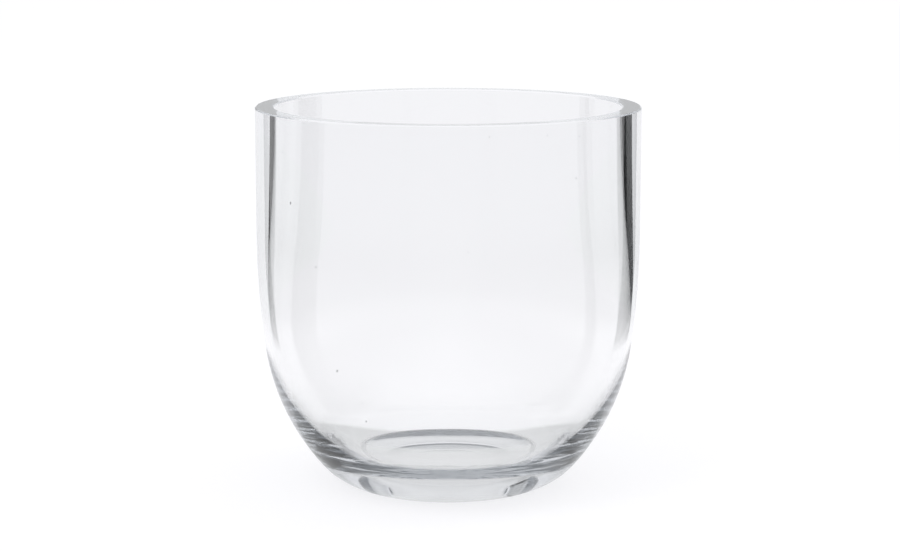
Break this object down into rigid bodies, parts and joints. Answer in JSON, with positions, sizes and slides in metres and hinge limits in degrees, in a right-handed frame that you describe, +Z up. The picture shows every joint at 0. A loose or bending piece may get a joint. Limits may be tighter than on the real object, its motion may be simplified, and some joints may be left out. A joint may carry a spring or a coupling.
{
  "type": "rose bowl vase",
  "caption": "Deep round-bottomed vase of thick clear glass, with almost straight sides, a wide flat cut rim, a heavy floor and a ground foot ring.",
  "frame": {"origin": "centre of the foot, on the surface that the vase stands on", "axes": "+Z up along the axis of the vase; the vase is round, so X and Y are alike"},
  "size_m": [0.2014, 0.2014, 0.2],
  "materials": {
    "clear_glass": "clear, fire-polished outside, polished cut rim and ground foot"
  },
  "bodies": {
    "root": {"glass_vessel": "clear_glass"}
  },
  "joints": []
}
